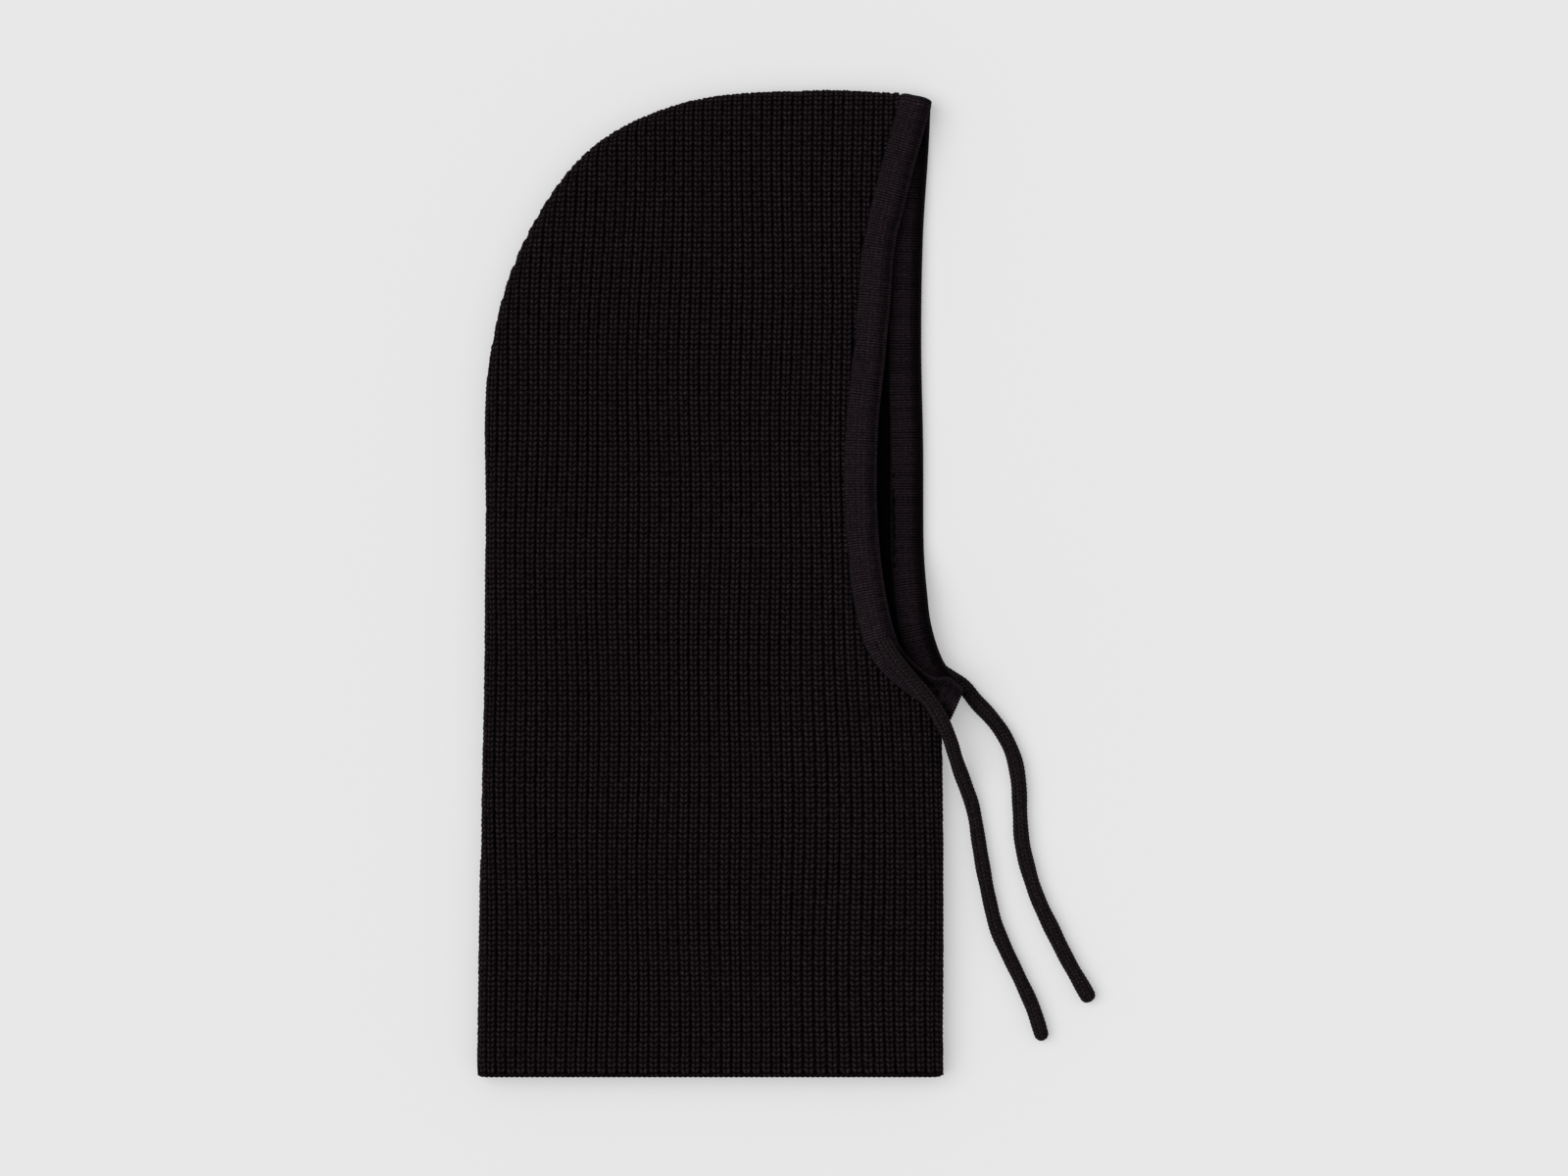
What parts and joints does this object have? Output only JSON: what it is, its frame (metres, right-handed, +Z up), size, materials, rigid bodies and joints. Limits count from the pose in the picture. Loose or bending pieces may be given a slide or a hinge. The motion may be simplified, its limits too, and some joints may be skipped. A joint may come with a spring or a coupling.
{
  "type": "knitted balaclava",
  "caption": "Hooded balaclava in chunky ribbed knit, lying flat on its side, with a fine-knit band casing round the face opening and a drawstring whose bare tails leave it at the chin",
  "frame": {"origin": "under the middle of the garment as it lies flat, on the surface it lies on, leaving out the drawstring's free tails", "axes": "+Y from hem to crown, +X the way the wearer faces, +Z up off the surface, through the wearer's right side"},
  "size_m": [0.3174, 0.505, 0.0272],
  "materials": {
    "rib_knit": "matt near-black half-fisherman rib, deep grooves",
    "fine_knit": "fine-gauge knit turned sideways, soft sheen",
    "cord_knit": "round knitted cord, matt",
    "linking_yarn": "near-black yarn"
  },
  "bodies": {
    "root": {"right_side_panel": "rib_knit", "left_side_panel": "rib_knit", "hem_edge": "rib_knit", "face_band": "fine_knit", "drawstring_in_casing": "cord_knit", "drawstring_right_tail": "cord_knit", "drawstring_left_tail": "cord_knit", "crown_seam": "linking_yarn", "centre_back_seam": "linking_yarn", "front_neck_seam": "linking_yarn", "right_band_linking": "linking_yarn", "left_band_linking": "linking_yarn", "right_eyelet": "linking_yarn", "left_eyelet": "linking_yarn", "right_band_end_stitch": "linking_yarn", "left_band_end_stitch": "linking_yarn", "chin_tack": "linking_yarn"}
  },
  "joints": []
}
